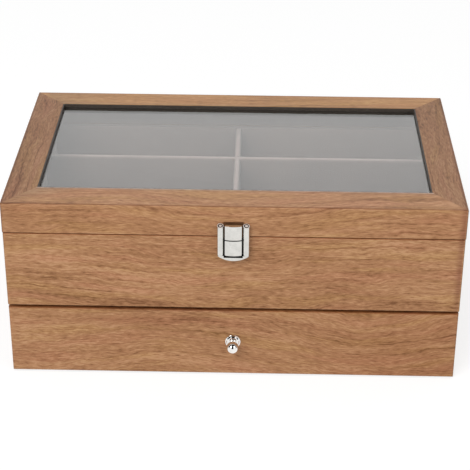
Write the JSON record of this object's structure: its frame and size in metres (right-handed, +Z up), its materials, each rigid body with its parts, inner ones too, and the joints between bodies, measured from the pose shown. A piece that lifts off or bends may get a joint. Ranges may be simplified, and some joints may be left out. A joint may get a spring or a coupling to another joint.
{
  "type": "eyeglasses storage box",
  "caption": "Veneered wooden eyeglasses box with a hinged glazed lid over velvet-lined cells, a push-button latch, and a lined drawer with a ball knob below.",
  "frame": {"origin": "centre of the case's footprint, on the surface that the box stands on", "axes": "+X to the right across the front, +Y from the front to the back, +Z up"},
  "size_m": [0.3306, 0.2207, 0.1415],
  "materials": {
    "veneered_wood": "satin-lacquered walnut-toned veneer with straight grain",
    "inner_wood": "stained board, matt",
    "velvet": "short-pile velvet in a pinkish taupe",
    "felt": "flocked felt, matt",
    "black_banding": "satin black edging and beads",
    "glass": "clear float glass",
    "bright_nickel": "polished nickel plate",
    "hinge_metal": "bright plated steel",
    "steel": "plain zinc-plated steel"
  },
  "bodies": {
    "case": {"left_side": "veneered_wood", "right_side": "veneered_wood", "back_panel": "veneered_wood", "front_panel": "veneered_wood", "shelf": "inner_wood", "base_panel": "inner_wood", "base_felt": "felt", "floor_lining": "velvet", "front_lining": "velvet", "back_lining": "velvet", "left_lining": "velvet", "right_lining": "velvet", "front_divider": "velvet", "rear_divider": "velvet", "cross_divider": "velvet", "left_hinge_case_leaf": "hinge_metal", "right_hinge_case_leaf": "hinge_metal", "hinge_pins": "hinge_metal", "case_hinge_screws": "steel", "latch_base": "bright_nickel", "latch_spring": "steel"},
    "lid": {"lid_front_rail": "veneered_wood", "lid_back_rail": "veneered_wood", "lid_left_rail": "veneered_wood", "lid_right_rail": "veneered_wood", "window_edging": "black_banding", "lid_glass": "glass", "front_bead": "black_banding", "back_bead": "black_banding", "left_bead": "black_banding", "right_bead": "black_banding", "left_hinge_lid_leaf": "hinge_metal", "right_hinge_lid_leaf": "hinge_metal", "lid_hinge_screws": "steel", "latch_catch": "bright_nickel"},
    "drawer": {"drawer_front": "veneered_wood", "drawer_inner_front": "inner_wood", "drawer_left_side": "inner_wood", "drawer_right_side": "inner_wood", "drawer_back": "inner_wood", "drawer_bottom": "inner_wood", "drawer_floor_lining": "velvet", "drawer_front_lining": "velvet", "drawer_back_lining": "velvet", "drawer_left_lining": "velvet", "drawer_right_lining": "velvet", "drawer_front_divider": "velvet", "drawer_rear_divider": "velvet", "drawer_cross_divider": "velvet", "drawer_knob": "bright_nickel", "knob_screw": "steel"},
    "button": {"latch_button": "bright_nickel"}
  },
  "joints": [
    {"name": "lid_hinge", "type": "hinge", "parent": "case", "child": "lid", "pos_m": [0, 0.10265, 0.1176], "axis": [-1, 0, 0], "range_deg": [0, 95]},
    {"name": "drawer_slide", "type": "slide", "parent": "case", "child": "drawer", "axis": [0, -1, 0], "range_m": [0, 0.15]},
    {"name": "button_press", "type": "slide", "parent": "case", "child": "button", "axis": [0, 1, 0], "range_m": [0, 0.0014], "stiffness_N_per_m": 300, "springref_m": -0.003, "deforming": ["latch_spring"]}
  ]
}
